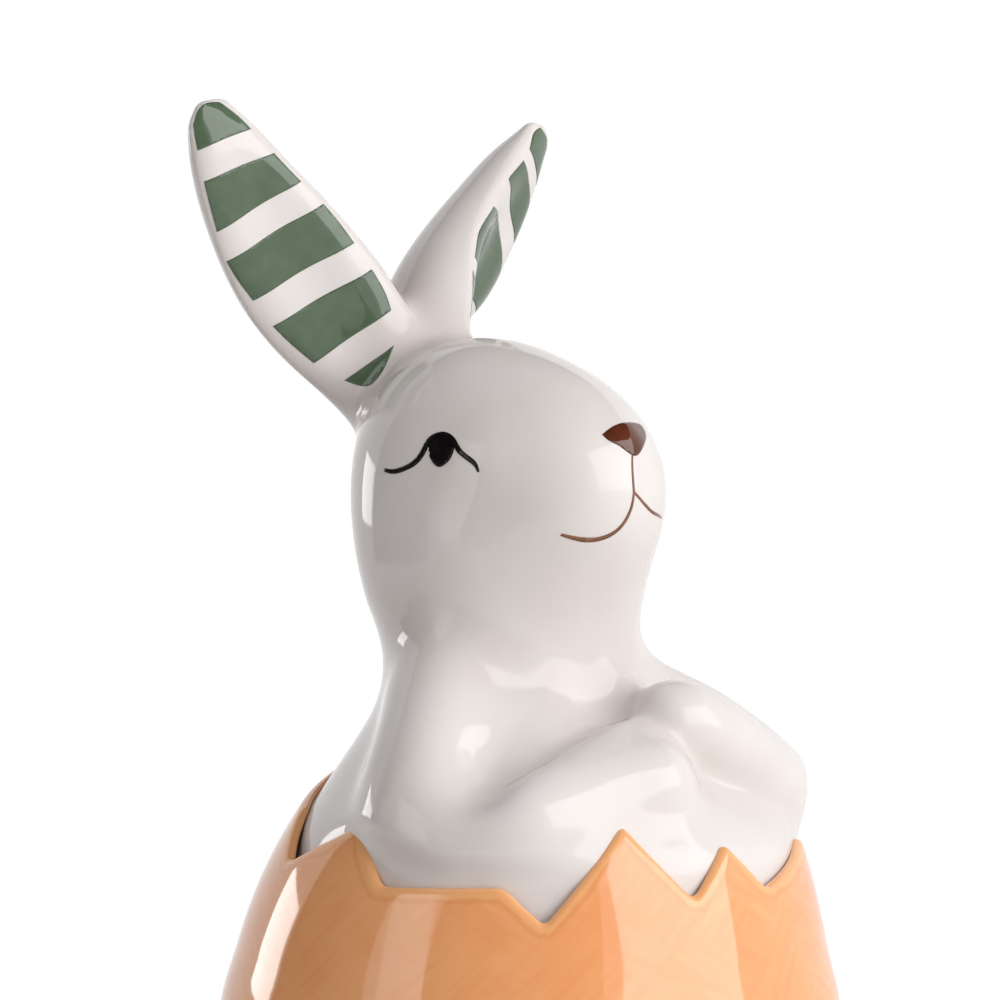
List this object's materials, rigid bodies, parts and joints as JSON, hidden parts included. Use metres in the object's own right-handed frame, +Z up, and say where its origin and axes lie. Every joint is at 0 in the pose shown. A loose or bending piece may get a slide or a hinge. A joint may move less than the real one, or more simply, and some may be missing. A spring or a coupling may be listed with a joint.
{
  "type": "hare figurine",
  "caption": "Glazed ceramic hare ornament looking up out of a cracked egg with a zig-zag rim, arms folded over the edge, striped upright ears and a flat foot to stand on.",
  "frame": {"origin": "on the floor under the middle of the egg, at the level of its foot", "axes": "+Z up from the foot to the ear tips, the hare's chest faces -Y, its left side is +X"},
  "size_m": [0.1077, 0.1079, 0.22],
  "materials": {
    "apricot_glaze": "brushed apricot colour under clear gloss glaze",
    "white_glaze": "warm white gloss glaze",
    "sage_enamel": "sage green gloss enamel",
    "black_enamel": "black gloss enamel",
    "brown_enamel": "brown gloss enamel"
  },
  "bodies": {
    "root": {"egg_shell": "apricot_glaze", "hare_torso": "white_glaze", "hare_head": "white_glaze", "right_arm": "white_glaze", "left_arm": "white_glaze", "right_ear": "white_glaze", "left_ear": "white_glaze", "nose_enamel": "brown_enamel", "mouth_enamel": "brown_enamel", "right_eye_enamel": "black_enamel", "left_eye_enamel": "black_enamel", "right_ear_stripe_1": "sage_enamel", "right_ear_stripe_2": "sage_enamel", "right_ear_stripe_3": "sage_enamel", "right_ear_stripe_4": "sage_enamel", "right_ear_stripe_5": "sage_enamel", "left_ear_stripe_1": "sage_enamel", "left_ear_stripe_2": "sage_enamel", "left_ear_stripe_3": "sage_enamel", "left_ear_stripe_4": "sage_enamel", "left_ear_stripe_5": "sage_enamel"}
  },
  "joints": []
}
